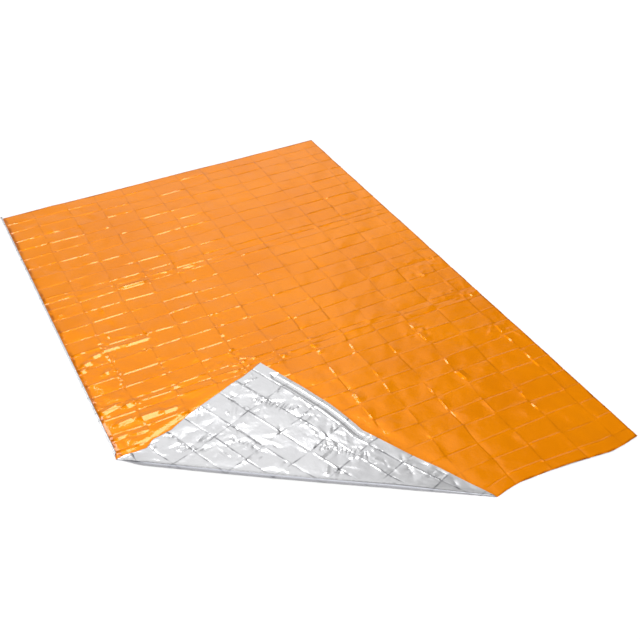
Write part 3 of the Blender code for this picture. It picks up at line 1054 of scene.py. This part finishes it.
def rest_underside(mesh, flat):
    """Rests the hidden underside flat on the floor, inside the free edges, with as few faces as it needs."""
    across, along = flat[:, 0], flat[:, 1]
    _, past = past_the_fold(across, along)
    lip = lip_film(along)
    to_edges = [across - lip, SHEET_WIDTH - across, along, SHEET_LENGTH - along]
    inside = np.minimum.reduce([*to_edges, -past - RESTS_BEFORE_FOLD])
    share = smooth_step((inside - RESTS_FROM) / RESTS_OVER)
    film = bmesh.new()
    film.from_mesh(mesh)
    film.verts.ensure_lookup_table()
    count = len(flat)
    for index in np.nonzero(share > 0.0)[0].tolist():
        point = film.verts[index + count]
        point.co.z += (REST_LEVEL - point.co.z) * share[index]
    resting = {film.verts[index + count] for index in np.nonzero(share >= 1.0)[0].tolist()}
    sharpen_creases(film, flat)
    hidden = [face for face in film.faces if resting.issuperset(face.verts)]
    bmesh.ops.dissolve_faces(film, faces=hidden, use_verts=True)
    bmesh.ops.triangulate(film, faces=[face for face in film.faces if len(face.verts) > 4])
    film.to_mesh(mesh)
    film.free()


# ---------------------------------------------------------------- finishes


def linear(hex_colour):
    """The linear colour of an sRGB hex value."""
    shares = [int(hex_colour[start : start + 2], 16) / 255 for start in (1, 3, 5)]
    return (*(c / 12.92 if c <= 0.04045 else ((c + 0.055) / 1.055) ** 2.4 for c in shares), 1.0)


def put(tree, kind, settings=(), values=(), **links):
    """Adds one node: its settings, its sockets' values by name or number, and its links from outputs."""
    node = tree.nodes.new(kind)
    for name, value in dict(settings).items():
        setattr(node, name, value)
    for name, value in dict(values).items():
        node.inputs[name].default_value = value
    for name, output in links.items():
        key = int(name[1:]) if name[0] == "_" and name[1:].isdigit() else name.replace("_", " ")
        tree.links.new(output, node.inputs[key])
    return node


def new_material(name):
    """A new material with nodes, its node tree and its surface node."""
    material = bpy.data.materials.new(name)
    material.use_nodes = True
    tree = material.node_tree
    return material, tree, tree.nodes["Principled BSDF"]


# The size of each pattern on the film, in metres: the cells of its crinkle's ridges and of the soft
# unevenness between them, the lengths that the darkened lines of cracks and painted shade break into, and the
# coatings' patches.
# The real crinkle and cracks are finer too, and are drawn as coarse as they need to be to show.
RIDGE_CELLS = 0.120
SOFT_CELLS = 0.022
CRACK_AND_SHADE_LENGTHS = 0.045
ORANGE_PATCHES = 0.25
SILVER_PATCHES = 0.12
# The grey of the silver film where its aluminium has cracked, and the grey painted as shade and dark
# reflection along creases, cut edges and the roll of the fold.
BARE_AND_SHADE_GREY = "#5C5D63"


def film_crinkle(tree, places, distance):
    """The fine crinkle of a thin film, as a bump: sharp ridges, and a soft unevenness between them."""
    ridges = put(
        tree,
        "ShaderNodeTexNoise",
        {"noise_type": "RIDGED_MULTIFRACTAL"},
        {"Scale": UV_METRES / RIDGE_CELLS, "Detail": 2.5, "Roughness": 0.5, "Lacunarity": 2.3, "Offset": 0.9},
        Vector=places,
    )
    soft = put(
        tree,
        "ShaderNodeTexNoise",
        values={"Scale": UV_METRES / SOFT_CELLS, "Detail": 3.0, "Roughness": 0.6},
        Vector=places,
    )
    both = put(tree, "ShaderNodeMath", {"operation": "MULTIPLY_ADD"}, {1: 0.6}, _0=ridges.outputs["Fac"],
               _2=soft.outputs["Fac"])
    return put(tree, "ShaderNodeBump", values={"Strength": 1.0, "Distance": distance},
               Height=both.outputs["Value"])


def cracks_and_painted_shade(tree, places, wear_and_shade, most):
    """How much darker the coating is drawn, up to the most: in thin, broken lines of cracks and of painted
    shade along the creases, the cut edges and the lip.
    """
    broken = put(tree, "ShaderNodeTexNoise", values={"Scale": UV_METRES / CRACK_AND_SHADE_LENGTHS, "Detail": 2.0},
                 Vector=places)
    share = put(
        tree,
        "ShaderNodeMapRange",
        values={"From Min": 0.40, "From Max": 0.62, "To Min": 0.10, "To Max": most},
        Value=broken.outputs["Fac"],
    )
    thin = put(tree, "ShaderNodeMath", {"operation": "POWER"}, {1: 1.6}, _0=wear_and_shade)
    return put(tree, "ShaderNodeMath", {"operation": "MULTIPLY"}, _0=thin.outputs["Value"],
               _1=share.outputs["Result"])


def orange_coated_film():
    """Polyester film with an opaque orange lacquer: an even, saturated colour under a smooth clear gloss,
    darker in broken lines where creases craze it, and with painted shade along creases, cut edges and beside
    the lip.
    """
    material, tree, surface = new_material("orange_lacquered_polyester_film")
    places = put(tree, "ShaderNodeTexCoord").outputs["UV"]
    wear_and_shade = put(tree, "ShaderNodeAttribute", {"attribute_name": "crease_wear_and_shade"}).outputs["Fac"]
    patches = put(tree, "ShaderNodeTexNoise", values={"Scale": UV_METRES / ORANGE_PATCHES, "Detail": 3.0},
                  Vector=places)
    colour = put(tree, "ShaderNodeMix", {"data_type": "RGBA"}, {6: linear("#E07C00"), 7: linear("#F38F00")},
                 _0=patches.outputs["Fac"])
    # Darker in broken lines along creases, cut edges and beside the lip: crazed lacquer, and painted shade.
    worn_and_shaded = cracks_and_painted_shade(tree, places, wear_and_shade, 0.65)
    crazed_and_shaded = put(tree, "ShaderNodeMix", {"data_type": "RGBA"}, {7: linear("#A85600")},
                 _0=worn_and_shaded.outputs["Value"], _6=colour.outputs[2])
    tree.links.new(crazed_and_shaded.outputs[2], surface.inputs["Base Color"])
    gloss = put(tree, "ShaderNodeMapRange", values={"To Min": 0.22, "To Max": 0.28},
                Value=patches.outputs["Fac"])
    tree.links.new(gloss.outputs["Result"], surface.inputs["Roughness"])
    crinkle = film_crinkle(tree, places, 0.0006)
    tree.links.new(crinkle.outputs["Normal"], surface.inputs["Normal"])
    tree.links.new(crinkle.outputs["Normal"], surface.inputs["Coat Normal"])
    surface.inputs["Metallic"].default_value = 0.42
    surface.inputs["Specular IOR Level"].default_value = 0.0
    surface.inputs["Coat Weight"].default_value = 1.0
    surface.inputs["Coat Roughness"].default_value = 0.08
    surface.inputs["Coat IOR"].default_value = 1.5
    return material


def silver_metallised_film():
    """Polyester film metallised with aluminium: a bright, hazy mirror, grey where creases crack it, with
    painted shade along creases, cut edges and the lip, and on the roll of the fold.
    """
    material, tree, surface = new_material("aluminium_metallised_polyester_film")
    places = put(tree, "ShaderNodeTexCoord").outputs["UV"]
    patches = put(tree, "ShaderNodeTexNoise", values={"Scale": UV_METRES / SILVER_PATCHES, "Detail": 3.0},
                  Vector=places)
    colour = put(tree, "ShaderNodeMix", {"data_type": "RGBA"}, {6: linear("#EFEFF2"), 7: linear("#F9F9FA")},
                 _0=patches.outputs["Fac"])
    wear_and_shade = put(tree, "ShaderNodeAttribute", {"attribute_name": "crease_wear_and_shade"}).outputs["Fac"]
    # Grey in broken lines along creases, cut edges and beside the lip: cracked aluminium, and painted shade.
    worn_and_shaded = cracks_and_painted_shade(tree, places, wear_and_shade, 1.5)
    cracked_and_shaded = put(tree, "ShaderNodeMix", {"data_type": "RGBA"}, {7: linear(BARE_AND_SHADE_GREY)},
                  _0=worn_and_shaded.outputs["Value"], _6=colour.outputs[2])
    # The roll of the fold is painted grey, as shade and dark reflection, with a darker painted shadow line.
    fold_shade_share = put(tree, "ShaderNodeAttribute", {"attribute_name": "fold_painted_shade"}).outputs["Fac"]
    painted_roll_shade = put(tree, "ShaderNodeMix", {"data_type": "RGBA"}, {7: linear(BARE_AND_SHADE_GREY)}, _0=fold_shade_share,
                      _6=cracked_and_shaded.outputs[2])
    tree.links.new(painted_roll_shade.outputs[2], surface.inputs["Base Color"])
    haze = put(tree, "ShaderNodeMapRange", values={"To Min": 0.15, "To Max": 0.24},
               Value=patches.outputs["Fac"])
    tree.links.new(haze.outputs["Result"], surface.inputs["Roughness"])
    surface.inputs["Metallic"].default_value = 0.72
    crinkle = film_crinkle(tree, places, 0.0005)
    tree.links.new(crinkle.outputs["Normal"], surface.inputs["Normal"])
    return material


# ---------------------------------------------------------------- the studio


def make_floor():
    """A plain white floor, far wider than the sheet."""
    bpy.ops.object.select_all(action="DESELECT")
    bpy.ops.mesh.primitive_plane_add(size=30.0, location=(0.0, 4.0, -0.0005))
    floor = bpy.context.active_object
    floor.name = "studio_floor"
    material, _, surface = new_material("matt_white_paint")
    surface.inputs["Base Color"].default_value = linear("#D2D2D2")
    surface.inputs["Roughness"].default_value = 0.9
    surface.inputs["Specular IOR Level"].default_value = 0.1
    floor.data.materials.append(material)
    return floor


def direction(azimuth, elevation):
    """A unit direction: degrees clockwise from +Y, and degrees up."""
    turn, up = math.radians(azimuth), math.radians(elevation)
    return Vector((math.sin(turn) * math.cos(up), math.cos(turn) * math.cos(up), math.sin(up)))


# The soft light all round: bright areas of the studio by where they are and how wide they reach.
SOFT_LIGHT = (
    # azimuth, elevation, full_within, gone_past, strength
    (215.0, 70.0, 14.0, 42.0, 3.2),
    (215.0, 40.0, 22.0, 60.0, 2.1),
    (18.0, 23.0, 13.0, 23.0, 0.45),
    (20.0, 51.0, 5.0, 16.0, 0.34),
    (-50.0, 8.0, 20.0, 40.0, 0.80),
)
DARK_STUDIO = 0.03

# The soft boxes, which face the middle of the sheet: their sizes and distance in metres.
SOFT_BOXES = (
    # name, azimuth, elevation, distance, width, depth, radiance
    ("high_soft_box", 14.0, 61.0, 6.0, 1.3, 1.4, 5.2),
    ("left_soft_box", -8.0, 47.0, 6.0, 0.6, 1.2, 6.0),
)


def light_the_room():
    """The studio's soft light: dark, mottled walls with wide bright areas overhead, behind and ahead."""
    world = bpy.data.worlds.new("soft_studio")
    bpy.context.scene.world = world
    world.use_nodes = True
    tree = world.node_tree
    looking = put(tree, "ShaderNodeTexCoord").outputs["Generated"]
    total = None
    for azimuth, elevation, full_within, gone_past, strength in SOFT_LIGHT:
        towards = put(tree, "ShaderNodeVectorMath", {"operation": "DOT_PRODUCT"},
                      {1: direction(azimuth, elevation)}, _0=looking)
        bright = put(
            tree,
            "ShaderNodeMapRange",
            {"interpolation_type": "SMOOTHSTEP"},
            {
                "From Min": math.cos(math.radians(gone_past)),
                "From Max": math.cos(math.radians(full_within)),
                "To Max": strength,
            },
            Value=towards.outputs["Value"],
        )
        if total is None:
            total = put(tree, "ShaderNodeMath", {"operation": "ADD"}, {1: DARK_STUDIO},
                        _0=bright.outputs["Result"])
        else:
            total = put(tree, "ShaderNodeMath", {"operation": "ADD"}, _0=total.outputs["Value"],
                        _1=bright.outputs["Result"])
    mottle = put(tree, "ShaderNodeTexNoise", values={"Scale": 9.0, "Detail": 2.0}, Vector=looking)
    uneven = put(
        tree,
        "ShaderNodeMapRange",
        values={"From Min": 0.3, "From Max": 0.7, "To Min": 0.5, "To Max": 1.5},
        Value=mottle.outputs["Fac"],
    )
    light = put(tree, "ShaderNodeMath", {"operation": "MULTIPLY"}, _0=total.outputs["Value"],
                _1=uneven.outputs["Result"])
    tree.links.new(light.outputs["Value"], tree.nodes["Background"].inputs["Strength"])
    tree.nodes["Background"].inputs["Color"].default_value = (1.0, 1.0, 1.0, 1.0)


def add_lamp(name, azimuth, elevation, distance, width, depth, radiance):
    """Adds a soft box that faces the middle of the sheet, with this radiance over its face."""
    lamp = bpy.data.lights.new(name, "AREA")
    lamp.shape = "RECTANGLE"
    lamp.size = width
    lamp.size_y = depth
    lamp.energy = radiance * width * depth * math.pi
    box = bpy.data.objects.new(name, lamp)
    bpy.context.scene.collection.objects.link(box)
    towards = direction(azimuth, elevation)
    box.location = towards * distance
    box.rotation_euler = (-towards).to_track_quat("-Z", "Y").to_euler()
    box.visible_camera = False


# The camera: where it stands in metres, how it is turned in radians, and its lens for a picture this wide.
PICTURE_PIXELS = 640
SENSOR_WIDTH = 36.0
CAMERA_PLACE = (-0.98866, -2.54216, 1.96466)
CAMERA_TURN = 0.4379
CAMERA_DIP = 0.6385
CAMERA_ROLL = -0.0316
LENS_PIXELS = 968.66


def place_camera():
    """A camera above head height, in front of the near edge and to the left."""
    data = bpy.data.cameras.new("camera")
    data.sensor_fit = "HORIZONTAL"
    data.sensor_width = SENSOR_WIDTH
    data.lens = LENS_PIXELS / PICTURE_PIXELS * SENSOR_WIDTH
    camera = bpy.data.objects.new("camera", data)
    bpy.context.scene.collection.objects.link(camera)
    ahead = Vector((
        math.sin(CAMERA_TURN) * math.cos(CAMERA_DIP),
        math.cos(CAMERA_TURN) * math.cos(CAMERA_DIP),
        -math.sin(CAMERA_DIP),
    ))
    right = Vector((math.cos(CAMERA_TURN), -math.sin(CAMERA_TURN), 0.0))
    up = right.cross(ahead)
    rolled = right * math.cos(CAMERA_ROLL) + up * math.sin(CAMERA_ROLL)
    upright = up * math.cos(CAMERA_ROLL) - right * math.sin(CAMERA_ROLL)
    frame_of_camera = Matrix((rolled, upright, -ahead)).transposed().to_4x4()
    frame_of_camera.translation = CAMERA_PLACE
    camera.matrix_world = frame_of_camera
    bpy.context.scene.camera = camera


def main():
    floor = make_floor()
    blanket = make_blanket()
    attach(blanket, "root")
    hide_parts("blanket")
    light_the_room()
    for soft_box in SOFT_BOXES:
        add_lamp(*soft_box)
    place_camera()
    bpy.context.scene.view_settings.view_transform = "Standard"


main()
